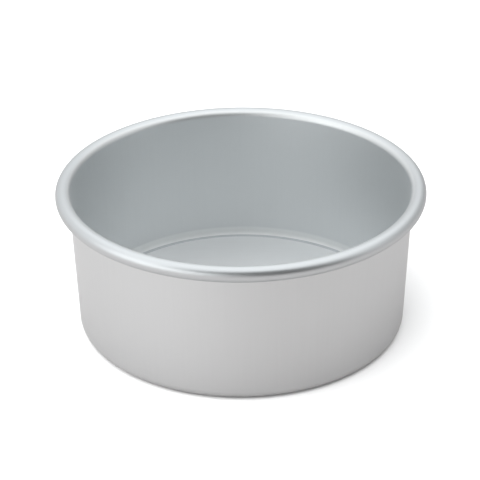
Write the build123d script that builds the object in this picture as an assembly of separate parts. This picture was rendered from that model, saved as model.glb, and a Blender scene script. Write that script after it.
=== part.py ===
from build123d import *
import os
from math import acos, cos, degrees, radians, sin

# Deep round cake tin with a loose base, in millimetres, standing on the plane z = 0 with its axis on Z.
# It is two pieces. The shell is one aluminium pressing: a wall with a little draft, rolled outwards into a
# hollow bead at the top and turned inwards into a flat ring at the foot. The base is a plain disc that lies
# on that ring, drops in from above and is pushed up and out when the cake is done.

# Sizes of the shell
inside_diameter = 200.0  # between the inner faces of the wall, just under the rolled rim
height = 90.0  # from the table to the top of the rolled rim
sheet = 1.2  # thickness of the aluminium
draft_angle = 2.3  # lean of the wall from upright, in degrees
corner_radius = 6.0  # outside, between the wall and the ring at the foot
ring_width = 10.0  # flat part of the ring that the base lies on
ring_edge_share = 0.35  # round on both sides of the ring's cut edge, of the sheet

# Sizes of the rolled rim
roll_radius = 4.5  # outside of the hollow bead
roll_gap = 0.3  # between the cut edge of the bead and the wall
roll_edge_share = 0.25  # round on both sides of that cut edge, of the sheet

# Sizes of the loose base
base_thickness = 2.0
base_under_edge_share = 0.75  # round on the edge that sits down into the corner, of the thickness
base_top_edge_share = 0.2  # round on the edge that shows, of the thickness
base_clearance = 0.3  # from the end of the disc's flat under side to the start of the shell's corner

# Directions in the half section, where X is the distance from the tin's axis and Y the height
lean = radians(draft_angle)
wall_up = Vector(sin(lean), cos(lean))
wall_out = Vector(cos(lean), -sin(lean))

# The bead's centre stands off the inner face of the wall by its own outer radius
wall_top_inner = Vector(inside_diameter / 2, height - roll_radius + roll_radius * sin(lean))
roll_centre = wall_top_inner + wall_out * roll_radius
roll_inner_radius = roll_radius - sheet

# The inner and the outer corner share one centre
inner_corner_radius = corner_radius - sheet
wall_foot_height = corner_radius - inner_corner_radius * sin(lean)
wall_length = (wall_top_inner.Y - wall_foot_height) / cos(lean)
wall_foot_inner = wall_top_inner - wall_up * wall_length
corner_centre = wall_foot_inner - wall_out * inner_corner_radius

# The bead closes up to the wall until only the gap is left beside its outer face
closing_angle = degrees(acos((roll_inner_radius - roll_gap) / roll_radius))
roll_start = 180.0 - draft_angle
roll_sweep = 360.0 - closing_angle

ring_outer_radius = corner_centre.X
ring_inner_radius = ring_outer_radius - ring_width
base_under_edge_radius = base_thickness * base_under_edge_share
base_radius = ring_outer_radius - base_clearance + base_under_edge_radius


def on_roll(radius, angle):
    """Point of the bead's section, at a distance from its centre and an angle in degrees from outwards."""
    return roll_centre + Vector(cos(radians(angle)), sin(radians(angle))) * radius


def tin_shell():
    """The pressing: its half section, all one sheet thick, turned about the tin's axis."""
    roll_end = roll_start - roll_sweep
    inner_end = on_roll(roll_inner_radius, roll_end)
    outer_end = on_roll(roll_radius, roll_end)
    ring_bottom = Vector(ring_inner_radius, 0)
    ring_top = Vector(ring_inner_radius, sheet)

    under_side = [
        Line(ring_bottom, Vector(ring_outer_radius, 0)),
        CenterArc(corner_centre, corner_radius, -90, 90 - draft_angle),
        Line(wall_foot_inner + wall_out * sheet, wall_top_inner + wall_out * sheet),
        CenterArc(roll_centre, roll_inner_radius, roll_start, -roll_sweep),
    ]
    upper_side = [
        CenterArc(roll_centre, roll_radius, roll_start, -roll_sweep),
        Line(wall_top_inner, wall_foot_inner),
        CenterArc(corner_centre, inner_corner_radius, -90, 90 - draft_angle),
        Line(Vector(ring_outer_radius, sheet), ring_top),
    ]
    cut_edges = [Line(inner_end, outer_end), Line(ring_top, ring_bottom)]

    section = make_face(under_side + upper_side + cut_edges)
    ring_edge = section.vertices().sort_by(Axis.X)[:2]
    section = fillet(ring_edge, sheet * ring_edge_share)
    roll_edge = section.vertices().sort_by_distance((inner_end + outer_end) / 2)[:2]
    section = fillet(roll_edge, sheet * roll_edge_share)
    return revolve(Plane.XZ * section, Axis.Z)


def loose_base():
    """The disc, lying on the ring at the foot of the shell, its under edge rounded to clear the corner."""
    standing = (Align.CENTER, Align.CENTER, Align.MIN)
    disc = Pos(0, 0, sheet) * Cylinder(base_radius, base_thickness, align=standing)
    for place, radius in ((0, base_under_edge_radius), (-1, base_thickness * base_top_edge_share)):
        edge = disc.edges().filter_by(GeomType.CIRCLE).sort_by(Axis.Z)[place]
        disc = fillet(edge, radius)
    return disc


os.makedirs("parts", exist_ok=True)
for name, piece in {"tin_shell": tin_shell(), "loose_base": loose_base()}.items():
    export_step(piece, f"parts/{name}.step")
    print(name, round(piece.volume), "cubic millimetres")
print("ring from radius", round(ring_inner_radius, 2), "to", round(ring_outer_radius, 2))
print("base diameter", round(2 * base_radius, 2), "rim diameter", round(2 * (roll_centre.X + roll_radius), 2))
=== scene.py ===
# %% [markdown]
# A deep round cake tin in satin anodised aluminium, with a rolled rim and a loose base.
#
# The construction is already there: two pieces, packed at their real size. They are used here as a frame that
# says where everything goes. This script gives the two pieces fine meshes and a real metal finish, and lights
# them as a small studio would.

# %% The frame
import math

import bmesh
import bpy
from mathutils import Matrix, Vector


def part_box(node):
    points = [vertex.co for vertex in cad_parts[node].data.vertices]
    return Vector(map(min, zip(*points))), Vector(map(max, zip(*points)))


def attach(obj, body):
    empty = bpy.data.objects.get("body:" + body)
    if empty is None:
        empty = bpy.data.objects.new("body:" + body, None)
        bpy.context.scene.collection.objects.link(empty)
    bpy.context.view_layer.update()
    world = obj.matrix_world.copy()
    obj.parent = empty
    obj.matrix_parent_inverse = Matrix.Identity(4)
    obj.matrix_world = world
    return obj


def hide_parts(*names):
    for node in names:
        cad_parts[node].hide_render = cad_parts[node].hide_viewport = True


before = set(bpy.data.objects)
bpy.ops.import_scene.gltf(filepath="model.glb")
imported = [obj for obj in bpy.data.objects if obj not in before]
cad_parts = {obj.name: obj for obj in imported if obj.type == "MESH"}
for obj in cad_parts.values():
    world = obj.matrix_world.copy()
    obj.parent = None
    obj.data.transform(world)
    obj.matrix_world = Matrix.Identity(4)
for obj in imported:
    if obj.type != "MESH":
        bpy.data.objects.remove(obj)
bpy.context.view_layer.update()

mm = 0.001
shell_low, shell_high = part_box("tin_shell")
base_low, base_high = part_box("loose_base")
rim_radius = (shell_high.x - shell_low.x) / 2
height = shell_high.z
base_radius = (base_high.x - base_low.x) / 2
print("rim diameter", round(2 * rim_radius / mm, 1), "mm, height", round(height / mm, 1), "mm")

# %% [markdown]
# The shell is one disc of sheet, drawn into a cup and then rolled at its edge. So its section is a long thin
# strip, bent. That is how it is made here too. The strip is described by its middle line, as a walk: go
# straight, bend, go straight, bend. Each leg has a length and a turn, and nothing else is needed.
#
# A drawn outline with a few dozen typed points would look the same from afar. It would not keep the sheet one
# thickness all the way, which is what the eye reads as pressed metal.

# %% Sizes of the sheet and of its bends
sheet = 1.2 * mm
lean = math.radians(2.3)
corner_radius = 6.0 * mm
ring_width = 10.0 * mm
roll_radius = 4.5 * mm
roll_gap = 0.3 * mm

roll_middle = roll_radius - sheet / 2
corner_middle = corner_radius - sheet / 2
closing = math.acos((roll_radius - sheet - roll_gap) / roll_radius)

wall_top = Vector((rim_radius - roll_radius - roll_middle * math.cos(lean),
                   height - roll_radius + roll_middle * math.sin(lean)))
wall_foot_height = corner_radius - corner_middle * math.sin(lean)
wall_length = (wall_top.y - wall_foot_height) / math.cos(lean)
wall_foot_radius = wall_top.x - wall_length * math.sin(lean)
ring_outer = wall_foot_radius - corner_middle * math.cos(lean)
ring_inner = ring_outer - ring_width

quarter_turn = math.pi / 2
legs = [
    (ring_width, 0.0),
    (corner_middle * (quarter_turn - lean), quarter_turn - lean),
    (wall_length, 0.0),
    (roll_middle * (2 * math.pi - closing), closing - 2 * math.pi),
]
strip_length = sum(length for length, turn in legs)
print("strip", round(strip_length / mm, 1), "mm long; ring from radius", round(ring_inner / mm, 2), "mm")


# %% The bent strip
def leftwards(heading):
    """The direction to the left of a heading, across the strip."""
    return Vector((-math.sin(heading), math.cos(heading)))


def on_strip(along, off):
    """Point of the section: along the strip from the ring's cut edge, and off its middle line to the left."""
    place, heading = Vector((ring_inner, sheet / 2)), 0.0
    for length, turn in legs:
        step = min(along, length)
        if turn:
            radius, bend = length / turn, turn * step / length
            place = place + (leftwards(heading) - leftwards(heading + bend)) * radius
            heading += bend
        else:
            place = place + Vector((math.cos(heading), math.sin(heading))) * step
        along -= step
        if along <= 0:
            break
    return place + leftwards(heading) * off


def stations():
    """Places along the strip: close together in the bends and at their ends, far apart in the straights."""
    bend_step, straight_step, shoulder = math.radians(6), 8 * mm, 0.4 * mm
    places, start = [], 0.0
    for length, turn in legs:
        if turn:
            count = math.ceil(abs(turn) / bend_step)
            places += [start + length * i / count for i in range(count)]
        else:
            count = math.ceil(length / straight_step)
            inner = [start + shoulder + (length - 2 * shoulder) * i / count for i in range(count + 1)]
            places += [start, *inner]
        start += length
    return places


def strip_section():
    """The closed outline of the bent strip, with both cut edges rounded."""
    half, cut_radius, cut_steps = sheet / 2, 0.3 * mm, 4
    middle = [s for s in stations() if cut_radius < s < strip_length - cut_radius]

    def cut_corner(edge, away, side):
        turns = [quarter_turn * i / cut_steps for i in range(cut_steps + 1)]
        return [(edge + away * cut_radius * (1 - math.sin(t)), side * (half - cut_radius * (1 - math.cos(t))))
                for t in turns]
    under = [(s, -half) for s in middle]
    upper = [(s, half) for s in reversed(middle)]
    loop = under + cut_corner(strip_length, -1, -1) + cut_corner(strip_length, -1, 1)[::-1]
    loop += upper + cut_corner(0.0, 1, 1) + cut_corner(0.0, 1, -1)[::-1]
    return [on_strip(s, off) for s, off in loop]


shell_outline = strip_section()
highest, widest = max(p.y for p in shell_outline), max(p.x for p in shell_outline)
print("shell section", len(shell_outline), "points, highest", round(highest / mm, 3), "mm, widest",
      round(widest / mm, 3), "mm")

# %% [markdown]
# Both pieces are round, so both are turned from a section. Blender's Screw modifier or a spin in mesh code
# could do it. A Geometry Nodes tree is used, because the number of steps round the axis stays a named input,
# and because the same tree serves a closed section (the shell) and an open one that starts and ends on the
# axis (the base). The section is carried along a circle, and the points that meet on the axis are merged.


# %% A helper for node trees
def add(tree, kind, inputs=None, **settings):
    """Adds one node with its settings. Each input is given a plain value or the output that feeds it."""
    node = tree.nodes.new(kind)
    for name, value in settings.items():
        setattr(node, name, value)
    for name, value in (inputs or {}).items():
        if isinstance(value, bpy.types.NodeSocket):
            tree.links.new(value, node.inputs[name])
        else:
            node.inputs[name].default_value = value
    return node


# %% The turning tree
steps_round = 288  # enough that no flat shows on the rim
touching = 0.001 * mm  # points that are nearer than this are one


def turning_tree():
    """Turns a section, drawn in X (radius) and Y (height), about the Z axis."""
    tree = bpy.data.node_groups.new("turning", "GeometryNodeTree")
    for name, kind in (("Section", "NodeSocketGeometry"), ("Steps round", "NodeSocketInt"),
                       ("Guide radius", "NodeSocketFloat"), ("Finish", "NodeSocketMaterial")):
        tree.interface.new_socket(name, in_out="INPUT", socket_type=kind)
    tree.interface.new_socket("Turned", in_out="OUTPUT", socket_type="NodeSocketGeometry")
    given = add(tree, "NodeGroupInput").outputs

    circle = add(tree, "GeometryNodeCurvePrimitiveCircle",
                 {"Resolution": given["Steps round"], "Radius": given["Guide radius"]})
    upright = add(tree, "GeometryNodeSetCurveNormal", {"Curve": circle.outputs["Curve"]}, mode="Z_UP")
    place = add(tree, "GeometryNodeInputPosition")
    parts = add(tree, "ShaderNodeSeparateXYZ", {0: place.outputs[0]})
    outwards = add(tree, "ShaderNodeMath", {0: parts.outputs["X"], 1: given["Guide radius"]},
                   operation="SUBTRACT")
    downwards = add(tree, "ShaderNodeMath", {0: 0.0, 1: parts.outputs["Y"]}, operation="SUBTRACT")
    moved = add(tree, "ShaderNodeCombineXYZ", {"X": outwards.outputs[0], "Y": downwards.outputs[0]})
    line = add(tree, "GeometryNodeMeshToCurve", {"Mesh": given["Section"]})
    section = add(tree, "GeometryNodeSetPosition",
                  {"Geometry": line.outputs["Curve"], "Position": moved.outputs[0]})
    turned = add(tree, "GeometryNodeCurveToMesh",
                 {"Curve": upright.outputs["Curve"], "Profile Curve": section.outputs["Geometry"]})
    closed = add(tree, "GeometryNodeMergeByDistance",
                 {"Geometry": turned.outputs["Mesh"], "Distance": touching})
    smooth = add(tree, "GeometryNodeSetShadeSmooth", {"Geometry": closed.outputs["Geometry"]})
    real = add(tree, "GeometryNodeRealizeInstances", {"Geometry": smooth.outputs["Geometry"]})
    finished = add(tree, "GeometryNodeSetMaterial",
                   {"Geometry": real.outputs["Geometry"], "Material": given["Finish"]})
    add(tree, "NodeGroupOutput", {"Turned": finished.outputs["Geometry"]})
    return tree


turning = turning_tree()
print("turning tree", len(turning.nodes), "nodes")


# %% From a section to a plain mesh
def turned(name, outline, closed, finish):
    """Turns an outline with the tree, then keeps the result as a plain mesh with its faces outwards."""
    section = bpy.data.meshes.new(name + "_section")
    edges = [(i, i + 1) for i in range(len(outline) - 1)] + ([(len(outline) - 1, 0)] if closed else [])
    section.from_pydata([(p.x, p.y, 0) for p in outline], edges, [])
    maker = bpy.data.objects.new(name + "_maker", section)
    bpy.context.scene.collection.objects.link(maker)
    modifier = maker.modifiers.new("turning", "NODES")
    modifier.node_group = turning
    values = {"Steps round": steps_round, "Guide radius": rim_radius, "Finish": finish}
    for item in turning.interface.items_tree:
        if item.in_out == "INPUT" and item.name in values:
            modifier[item.identifier] = values[item.name]

    mesh = bpy.data.meshes.new_from_object(maker.evaluated_get(bpy.context.evaluated_depsgraph_get()))
    bpy.data.objects.remove(maker)
    shape = bmesh.new()
    shape.from_mesh(mesh)
    bmesh.ops.recalc_face_normals(shape, faces=shape.faces)
    open_edges = sum(not edge.is_manifold for edge in shape.edges)
    volume = shape.calc_volume(signed=True)
    shape.to_mesh(mesh)
    shape.free()
    mesh.name = name
    piece = bpy.data.objects.new(name, mesh)
    bpy.context.scene.collection.objects.link(piece)
    print(name, len(mesh.polygons), "faces,", open_edges, "open edges,", round(volume / mm ** 3), "cubic mm")
    return piece


# %% [markdown]
# The base is a flat disc. It was cut from rolled sheet with a press tool, which leaves a small round on the
# edge that shows and a larger one on the edge that sits down into the corner of the shell.

# %% The base's section
base_thickness = base_high.z - base_low.z
under_edge = base_thickness * 0.75
top_edge = base_thickness * 0.2


def disc_section():
    """Half the disc's outline, from the axis out along the under side and back along the top."""
    edge_steps, flat_steps, shoulder = 8, 10, 0.5 * mm
    turns = [quarter_turn * i / edge_steps for i in range(edge_steps + 1)]
    flat = [base_radius * i / flat_steps for i in range(flat_steps)]
    under_flat, top_flat = base_radius - under_edge, base_radius - top_edge
    under = [Vector((r, base_low.z)) for r in (*flat, under_flat - shoulder)]
    under += [Vector((under_flat + under_edge * math.sin(t), base_low.z + under_edge * (1 - math.cos(t))))
              for t in turns]
    top = [Vector((top_flat + top_edge * math.cos(t), base_high.z - top_edge * (1 - math.sin(t))))
           for t in turns]
    top += [Vector((r, base_high.z)) for r in (top_flat - shoulder, *reversed(flat))]
    return under + top


base_outline = disc_section()
print("base section", len(base_outline), "points, radius", round(base_radius / mm, 2), "mm")


# %% [markdown]
# Both pieces are aluminium, etched in caustic soda and then anodised. The etch leaves pits far too small to
# see, and the anodising grows a clear skin of oxide over them. Together they give the eye a soft silvery
# sheen that holds no sharp reflection, a touch cooler than white. It is the same metal everywhere, but each
# zone was worked in its own way, and that shows as a change of roughness or of brightness. Some of that
# brightness is painted light and shade, where the list says so:
#
# - the wall was drawn over a punch, which leaves faint lines that run up it;
# - the bead was burnished by the rollers that curled it, on its top and its outside, where they pressed;
# - the corner inside the foot is rougher, and painted lighter for the light that its curve catches from
#   above;
# - in the narrow seam between the base and that corner, a thin dark line is painted for the shade in the
#   crevice;
# - the base was cut from rolled plate, and keeps the straight grain of the mill.
#
# How each zone was worked is a reading of the photograph, from how such tins are usually made. The roughness
# and the tints were then matched to the photograph with many trial renders. They are values that look right,
# and none of them was measured on metal.
#
# A photograph of such metal could be wrapped round the pieces. Nodes are used instead, because every zone
# then follows from the sizes above: a circle about the tin's axis, and how far a point is from it.


# %% Colours
def linear(text):
    """A colour written as an sRGB hex value, turned to the linear values that the shaders take."""
    channels = [int(text[i:i + 2], 16) / 255 for i in (0, 2, 4)]
    return tuple(c / 12.92 if c <= 0.04045 else ((c + 0.055) / 1.055) ** 2.4 for c in channels) + (1.0,)


def new_material(name):
    """An empty material, its node tree, and its output node."""
    material = bpy.data.materials.new(name)
    material.use_nodes = True
    tree = material.node_tree
    tree.nodes.clear()
    return material, tree, add(tree, "ShaderNodeOutputMaterial")


# %% Mixing
def blend(tree, amount, first, second):
    """A colour between two others. Inputs 6 and 7 of a Mix node are its two colours."""
    return add(tree, "ShaderNodeMix", {"Factor": amount, 6: first, 7: second}, data_type="RGBA").outputs[2]


def between(tree, amount, first, second):
    """A number between two others. Inputs 2 and 3 of a Mix node are its two numbers."""
    return add(tree, "ShaderNodeMix", {"Factor": amount, 2: first, 3: second}, data_type="FLOAT").outputs[0]


def rises(tree, value, none, full):
    """0 where the value is at none, 1 where it is at full, and smooth between them."""
    return add(tree, "ShaderNodeMapRange", {"Value": value, "From Min": none, "From Max": full},
               interpolation_type="SMOOTHSTEP").outputs[0]


# %% Where a point lies on a turned piece
def turned_place(tree):
    """The point, its distance from the tin's axis, its height, and its place unrolled round the axis."""
    place = add(tree, "ShaderNodeTexCoord").outputs["Object"]
    parts = add(tree, "ShaderNodeSeparateXYZ", {0: place}).outputs
    flat = add(tree, "ShaderNodeCombineXYZ", {"X": parts["X"], "Y": parts["Y"]}).outputs[0]
    across = add(tree, "ShaderNodeVectorMath", {0: flat}, operation="LENGTH").outputs["Value"]
    round_it = add(tree, "ShaderNodeVectorMath", {0: flat}, operation="NORMALIZE").outputs[0]
    rolled_out = add(tree, "ShaderNodeVectorMath", {0: round_it, "Scale": rim_radius}, operation="SCALE")
    return place, across, parts["Z"], rolled_out.outputs[0]


def near_circle(tree, across, up, circle, reach, fade):
    """1 within the reach of a circle about the axis, falling smoothly to 0 over the fade beyond it."""
    radius, level = circle
    aside = add(tree, "ShaderNodeMath", {0: across, 1: radius}, operation="SUBTRACT").outputs[0]
    above = add(tree, "ShaderNodeMath", {0: up, 1: level}, operation="SUBTRACT").outputs[0]
    offset = add(tree, "ShaderNodeCombineXYZ", {"X": aside, "Y": above}).outputs[0]
    gap = add(tree, "ShaderNodeVectorMath", {0: offset}, operation="LENGTH").outputs["Value"]
    return rises(tree, gap, reach + fade, reach)


# %% Grain
etch_width = 0.5 * mm  # the real pits are about a tenth of this, too fine to show, so they are drawn coarser
etch_depth = 0.006 * mm
draw_width = 1.4 * mm  # between drawing lines, round the wall, and coarser than the real ones, to show
mill_width = 0.9 * mm  # between the grain lines of the plate, and coarser for the same reason
line_length = 40  # how many times longer than wide a line is
noise_detail = 2.0


def etched(tree, place):
    """The fine etch as a bump."""
    pits = add(tree, "ShaderNodeTexNoise", {"Vector": place, "Scale": 1 / etch_width, "Detail": noise_detail})
    return add(tree, "ShaderNodeBump", {"Strength": 1.0, "Distance": etch_depth,
                                        "Height": pits.outputs[0]}).outputs[0]


def lines(tree, place, width, along):
    """Noise that is stretched along one axis of the place that it is given, from 0 to 1."""
    squeeze = [1.0, 1.0, 1.0]
    squeeze[along] = 1 / line_length
    stretched = add(tree, "ShaderNodeVectorMath", {0: place, 1: squeeze}, operation="MULTIPLY").outputs[0]
    noise = add(tree, "ShaderNodeTexNoise", {"Vector": stretched, "Scale": 1 / width, "Detail": noise_detail})
    return noise.outputs[0]


# %% Circles that the finishes follow
bead_circle = (rim_radius - roll_radius, height - roll_radius)
corner_circle = (ring_outer, corner_radius)
corner_inner = corner_radius - sheet
seam_drop = 0.7 * mm  # from the top of the base down to the middle of the dull line
seam_level = base_high.z - seam_drop
seam_circle = (ring_outer + math.sqrt(corner_inner ** 2 - (corner_radius - seam_level) ** 2), seam_level)
print("seam at radius", round(seam_circle[0] / mm, 2), "mm, height", round(seam_level / mm, 2), "mm")

# %% How far each finish and painted zone reaches from its circle, and over how much it fades out there
bead_reach, bead_fade = roll_radius + 0.1 * mm, 0.7 * mm
corner_reach, corner_fade = corner_inner + 0.2 * mm, 0.8 * mm
seam_reach, seam_fade = 0.7 * mm, 0.3 * mm
burnish_none_share = 0.70  # of the bead's radius, inwards from its middle: no burnish from there in
burnish_full_share = 0.42  # full burnish from there out

# %% Levels of the shell's finish
wall_rough = 0.47
wall_rough_spread = 0.03
bead_rough = 0.43
corner_rough = 0.70
wall_tint = "DBDEDF"
wall_line_tint = "DADDDE"
bead_tint = "CCD0D2"
# painted light: the corner inside the foot is tinted lighter for the light that its curve catches from above
painted_corner_light_tint = "F0F2F2"
# painted shade: a darker tint on a thin ring, for the shadow in the crevice of the seam
painted_seam_shade_tint = "C4C8CB"


# %% The shell's finish
def satin_anodised_sheet():
    """Etched, anodised sheet: a soft sheen on the wall, a clearer one on the bead, painted light and shade at
    the foot.
    """
    material, tree, output = new_material("satin_anodised_aluminium_sheet")
    place, across, up, unrolled = turned_place(tree)
    on_bead = near_circle(tree, across, up, bead_circle, bead_reach, bead_fade)
    pressed = rises(tree, across, bead_circle[0] - burnish_none_share * roll_radius,
                    bead_circle[0] - burnish_full_share * roll_radius)
    burnished = add(tree, "ShaderNodeMath", {0: on_bead, 1: pressed}, operation="MULTIPLY").outputs[0]
    # the corner's zone: rougher, and painted lighter for the light that it catches
    corner_rough_and_painted_light = near_circle(tree, across, up, corner_circle, corner_reach, corner_fade)
    # painted shade: a thin dark ring in the crevice of the seam
    dull = near_circle(tree, across, up, seam_circle, seam_reach, seam_fade)

    tall = add(tree, "ShaderNodeCombineXYZ", {"Z": up}).outputs[0]
    on_wall = add(tree, "ShaderNodeVectorMath", {0: unrolled, 1: tall}, operation="ADD").outputs[0]
    drawn = lines(tree, on_wall, draw_width, 2)

    rough = between(tree, drawn, wall_rough - wall_rough_spread, wall_rough + wall_rough_spread)
    rough = between(tree, burnished, rough, bead_rough)
    rough = between(tree, corner_rough_and_painted_light, rough, corner_rough)
    tint = blend(tree, drawn, linear(wall_tint), linear(wall_line_tint))
    tint = blend(tree, burnished, tint, linear(bead_tint))
    tint = blend(tree, corner_rough_and_painted_light, tint, linear(painted_corner_light_tint))
    tint = blend(tree, dull, tint, linear(painted_seam_shade_tint))
    metal = add(tree, "ShaderNodeBsdfPrincipled", {"Base Color": tint, "Metallic": 1.0, "Roughness": rough,
                                                   "Normal": etched(tree, place)})
    tree.links.new(metal.outputs[0], output.inputs["Surface"])
    return material


# %% [markdown]
# The base lies flat and faces the light above it, so its metal looks brighter than the wall's, and its tint
# is painted lighter than the sheet's for that light as well. It is a heavier plate, which was rolled and not
# drawn. The mill leaves straight fine lines in it, all one way, and they scatter light further to the sides
# than the etch on the thin sheet does. So it has the same etch, a straight grain, a higher roughness, and
# the lighter tint.

# %% Levels of the base's finish
base_rough = 0.75
base_rough_spread = 0.03
# painted light: the plate's tints are lighter than the sheet's, for the light that it faces from above
base_painted_light_tint = "EAEDEE"
base_painted_light_line_tint = "E9EBEC"


# %% The base's finish
def satin_anodised_plate():
    """Etched, anodised plate: the sheet's soft sheen spread wider by a straight mill grain, tint painted
    lighter.
    """
    material, tree, output = new_material("satin_anodised_aluminium_plate")
    place = add(tree, "ShaderNodeTexCoord").outputs["Object"]
    milled = lines(tree, place, mill_width, 0)
    rough = between(tree, milled, base_rough - base_rough_spread, base_rough + base_rough_spread)
    tint = blend(tree, milled, linear(base_painted_light_tint), linear(base_painted_light_line_tint))
    metal = add(tree, "ShaderNodeBsdfPrincipled", {"Base Color": tint, "Metallic": 1.0, "Roughness": rough,
                                                   "Normal": etched(tree, place)})
    tree.links.new(metal.outputs[0], output.inputs["Surface"])
    return material


# %% [markdown]
# Now the sections, the turning tree and the two finishes come together. Each turned piece takes the place
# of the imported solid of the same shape, which stays underneath for collision. The base rides on its own
# body, so that it lifts out of the shell when the joint moves.

# %% The two pieces
shell = turned("shell", shell_outline, True, satin_anodised_sheet())
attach(shell, "tin")
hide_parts("tin_shell")

base = turned("base", base_outline, False, satin_anodised_plate())
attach(base, "base")
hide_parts("loose_base")

# %% [markdown]
# The floor is a sheet of white paper. In the picture it is blown out to pure white, but it keeps the soft
# shadow of the tin. Stronger lamps would do that, and would burn out the metal too. So the paper has two
# colours: the one that lights the tin, and a lighter one that is only shown. Light Path tells which ray
# asks. A camera ray gets the whole of the lighter colour. A ray that comes off metal or through glass gets
# a small share of it, so that the metal shows a pale floor and still has the soft contrast that makes it
# look like metal.

# %% Floor
floor_tint = "BBB7B6"
floor_shown_tint = "FCFCFC"
mirror_share = 0.05
floor_glow = 0.02


def white_paper():
    """Matt paper. What is shown of it is lighter than what it sends on to the tin."""
    material, tree, output = new_material("white_paper")
    seen = add(tree, "ShaderNodeLightPath").outputs
    mirrored = add(tree, "ShaderNodeMath", {0: seen["Is Glossy Ray"], 1: seen["Is Transmission Ray"]},
                   operation="MAXIMUM").outputs[0]
    partly = add(tree, "ShaderNodeMath", {0: mirrored, 1: mirror_share}, operation="MULTIPLY").outputs[0]
    shown = add(tree, "ShaderNodeMath", {0: seen["Is Camera Ray"], 1: partly}, operation="MAXIMUM").outputs[0]
    matt = add(tree, "ShaderNodeBsdfDiffuse",
               {"Color": blend(tree, shown, linear(floor_tint), linear(floor_shown_tint))})
    glow = add(tree, "ShaderNodeMath", {0: shown, 1: floor_glow}, operation="MULTIPLY").outputs[0]
    lift = add(tree, "ShaderNodeEmission", {"Color": linear("FFFFFF"), "Strength": glow})
    both = add(tree, "ShaderNodeAddShader", {0: matt.outputs[0], 1: lift.outputs[0]})
    tree.links.new(both.outputs[0], output.inputs["Surface"])
    material.cycles.emission_sampling = "NONE"
    return material


floor_width = 12
bpy.ops.mesh.primitive_plane_add(size=floor_width)
floor = bpy.context.object
floor.name = "floor"
floor.data.materials.append(white_paper())
print("floor", floor_width, "m wide")

# %% [markdown]
# Satin metal has no look of its own. It shows, blurred, whatever stands round it, so the room is as much a
# part of the finish as the roughness is. A plain white room alone makes the tin look like grey plaster.
# Photographers add two things to it: soft lamps, which make the bright parts brighter, and cards, which
# give the metal something dark to show. The edges of the cards are thin, so that no edge of one shows on
# the metal. Most of them are seen only in reflections: they take no light from the room and throw no
# shadow. The black one also keeps light off the paper, as a real one would, which deepens the shadow under
# the near side of the foot.

# %% White room
room_light = 0.65


def white_room():
    """A room that the metal shows as white. It gives the paper less, to keep the tin's shadow."""
    world = bpy.data.worlds.new("white_room")
    world.use_nodes = True
    tree = world.node_tree
    tree.nodes.clear()
    seen = add(tree, "ShaderNodeLightPath").outputs
    mirrored = add(tree, "ShaderNodeMath", {0: seen["Is Glossy Ray"], 1: seen["Is Transmission Ray"]},
                   operation="MAXIMUM").outputs[0]
    shown = add(tree, "ShaderNodeMath", {0: seen["Is Camera Ray"], 1: mirrored},
                operation="MAXIMUM").outputs[0]
    white = add(tree, "ShaderNodeBackground", {"Color": linear("FFFFFF"),
                                               "Strength": between(tree, shown, room_light, 1.0)})
    add(tree, "ShaderNodeOutputWorld", {"Surface": white.outputs[0]})
    return world


bpy.context.scene.world = white_room()

# %% Where a lamp or a card stands
tin_middle = Vector((0, 0, 0.05))


def out_there(azimuth, elevation, distance):
    """A place round the tin: azimuth 0 is the camera's side, 90 the right, and both angles are in degrees."""
    turn, rise = math.radians(azimuth), math.radians(elevation)
    level = distance * math.cos(rise)
    return tin_middle + Vector((level * math.sin(turn), -level * math.cos(turn), distance * math.sin(rise)))


def stand(holder, place, facing):
    """Puts a lamp or a card somewhere, and turns it to face a point."""
    holder.location = place
    holder.rotation_euler = (facing - place).to_track_quat("-Z", "Y").to_euler()


# %% A softbox
def softbox(name, place, facing, width, depth, glow, tint="FFFFFF"):
    """An area lamp. Its power is worked out from the brightness that it adds where the metal shows it."""
    lamp = bpy.data.lights.new(name, "AREA")
    lamp.shape = "RECTANGLE"
    lamp.size, lamp.size_y, lamp.color = width, depth, linear(tint)[:3]
    lamp.energy = glow * math.pi * width * depth
    holder = bpy.data.objects.new(name, lamp)
    bpy.context.scene.collection.objects.link(holder)
    holder.visible_camera = False
    stand(holder, place, facing)
    print(name, "at", [round(value, 2) for value in place], "power", round(lamp.energy, 2), "W")
    return holder


# %% A card
def card(name, place, facing, width, depth, shade, soft_across, soft_up, takes_light=False):
    """A card for reflections, dense in the middle and thin at its edges. The soft edges are shares of it.

    One that takes light also keeps it off the paper. The others are seen by nothing but reflections.
    """
    material, tree, output = new_material(name + "_cloth")
    spot = add(tree, "ShaderNodeTexCoord").outputs["Object"]
    parts = add(tree, "ShaderNodeSeparateXYZ", {0: spot}).outputs
    dense, half = 1.0, 0.5  # the plane is 1 wide until it is scaled
    for axis, soft in (("X", soft_across), ("Y", soft_up)):
        aside = add(tree, "ShaderNodeMath", {0: parts[axis]}, operation="ABSOLUTE").outputs[0]
        thick = rises(tree, aside, half, half - soft)
        dense = add(tree, "ShaderNodeMath", {0: dense, 1: thick}, operation="MULTIPLY").outputs[0]
    dull = add(tree, "ShaderNodeEmission", {"Color": linear(shade), "Strength": 1.0})
    clear = add(tree, "ShaderNodeBsdfTransparent")
    both = add(tree, "ShaderNodeMixShader", {0: dense, 1: clear.outputs[0], 2: dull.outputs[0]})
    tree.links.new(both.outputs[0], output.inputs["Surface"])
    material.cycles.emission_sampling = "NONE"

    bpy.ops.mesh.primitive_plane_add(size=1)
    holder = bpy.context.object
    holder.name = name
    holder.scale = (width, depth, 1)
    holder.data.materials.append(material)
    holder.visible_camera = holder.visible_transmission = False
    holder.visible_diffuse = holder.visible_shadow = takes_light
    stand(holder, place, facing)
    print(name, "at", [round(value, 2) for value in place])


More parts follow.
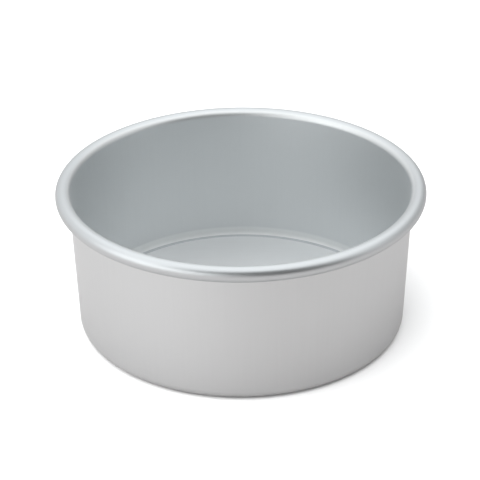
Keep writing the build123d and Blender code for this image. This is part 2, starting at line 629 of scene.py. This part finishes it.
# %% [markdown]
# The lamp overhead hangs low, at arm's length, and reaches from just in front of the tin to well behind it.
# Seen from the near side of the rim and from the far side it therefore lies in different directions, and
# that is why the bright line runs along the top of the bead in front and on its inner side at the back. The
# second lamp stands at the front left and brightens that side of the wall. The third is broad and hangs
# high on the left. It lights the paper mostly from above, and that gives the thin dark line where the foot
# meets the paper and the soft shadow to the right of the tin. The metal doesn't show it, because it would
# put another bright line on the bead.
#
# The places and strengths of the lamps and cards were fitted to the photograph by trial renders. They are one
# room that gives nearly this look, and not a record of the room that the photograph was taken in.

# %% Lamp overhead
overhead_glow = 0.463
overhead_front = -0.427
overhead_back = 0.81
overhead_level = 0.7
overhead_width = 1.3
overhead_tint = "FBFDFF"
overhead_place = Vector((0, (overhead_front + overhead_back) / 2, overhead_level))
straight_down = Vector((0, 0, -1))
overhead_depth = overhead_back - overhead_front
softbox("overhead_softbox", overhead_place, overhead_place + straight_down, overhead_width, overhead_depth,
        overhead_glow, overhead_tint)

# %% Lamp at the front left
left_glow = 0.83
left_azimuth = 316.3
left_elevation = 19.6
left_distance = 1.4
left_width = 2.28
left_height = 1.34
left_place = out_there(left_azimuth, left_elevation, left_distance)
softbox("front_left_softbox", left_place, tin_middle, left_width, left_height, left_glow)

# %% Lamp for the paper
high_glow = 2.04
high_azimuth = 308
high_elevation = 71.3
high_distance = 1.5
high_width = 2.2
high_place = out_there(high_azimuth, high_elevation, high_distance)
high_lamp = softbox("high_softbox", high_place, tin_middle, high_width, high_width, high_glow)
high_lamp.visible_glossy = False

# %% Cards round the tin
card_distance = 1.35
cards = (  # name, azimuth, elevation, width, height, shade, soft edges across and up, whether it takes light
    ("black_card", 24.7, 5, 3.0, 1.5, "000000", 0.25, 0.3, True),
    ("grey_card", 128.5, 3.5, 2.8, 1.9, "C3C3C3", 0.25, 0.35, False),
    ("back_card", 190, 15, 2.4, 1.4, "EDEDED", 0.3, 0.35, False),
)
for name, azimuth, elevation, *rest in cards:
    card(name, out_there(azimuth, elevation, card_distance), tin_middle, *rest)

# %% Card over the camera
ceiling_left = -0.75
ceiling_right = 1.0
ceiling_near = -1.5
ceiling_tuck = 0.03  # how far it reaches in under the lamp
ceiling_far = overhead_front + ceiling_tuck
ceiling_level = 0.66
ceiling_shade = "2A2A2A"
ceiling_soft_across, ceiling_soft_along = 0.25, 0.1
ceiling_place = Vector(((ceiling_left + ceiling_right) / 2, (ceiling_near + ceiling_far) / 2, ceiling_level))
card("ceiling_card", ceiling_place, ceiling_place + straight_down, ceiling_right - ceiling_left,
     ceiling_far - ceiling_near, ceiling_shade, ceiling_soft_across, ceiling_soft_along)

# %% [markdown]
# The camera stands a little over a metre away and looks down on the tin by 28 degrees, so that the near rim
# hides the near half of the base. Its lens is long. That is plain from the far rim, which is drawn nearly
# as wide as the near one. It leans half a degree to one side, as a hand-set tripod does.

# %% Camera
picture_width = 480  # pixels
focal_length = 1816  # pixels
sensor_width = 36  # millimetres, as Blender counts them
pitch, roll = math.radians(28.23), math.radians(-0.50)
aim = Vector((-0.0007, 0, 0.0504))
distance = 1.0858

forward = Vector((0, math.cos(pitch), -math.sin(pitch)))
level_right, level_up = Vector((1, 0, 0)), Vector((0, math.sin(pitch), math.cos(pitch)))
right = level_right * math.cos(roll) + level_up * math.sin(roll)
up = level_up * math.cos(roll) - level_right * math.sin(roll)

eye = bpy.data.cameras.new("camera")
eye.sensor_width = sensor_width
eye.lens = focal_length / picture_width * sensor_width
eye.clip_start, eye.clip_end = 0.05, 50
camera = bpy.data.objects.new("camera", eye)
bpy.context.scene.collection.objects.link(camera)
turned_to = Matrix((right, up, -forward)).transposed()
camera.matrix_world = Matrix.Translation(aim - forward * distance) @ turned_to.to_4x4()
bpy.context.scene.camera = camera
bpy.context.scene.view_settings.view_transform = "Standard"
stands_at = [round(value, 3) for value in camera.matrix_world.translation]
print("lens", round(eye.lens, 1), "mm, camera at", stands_at)
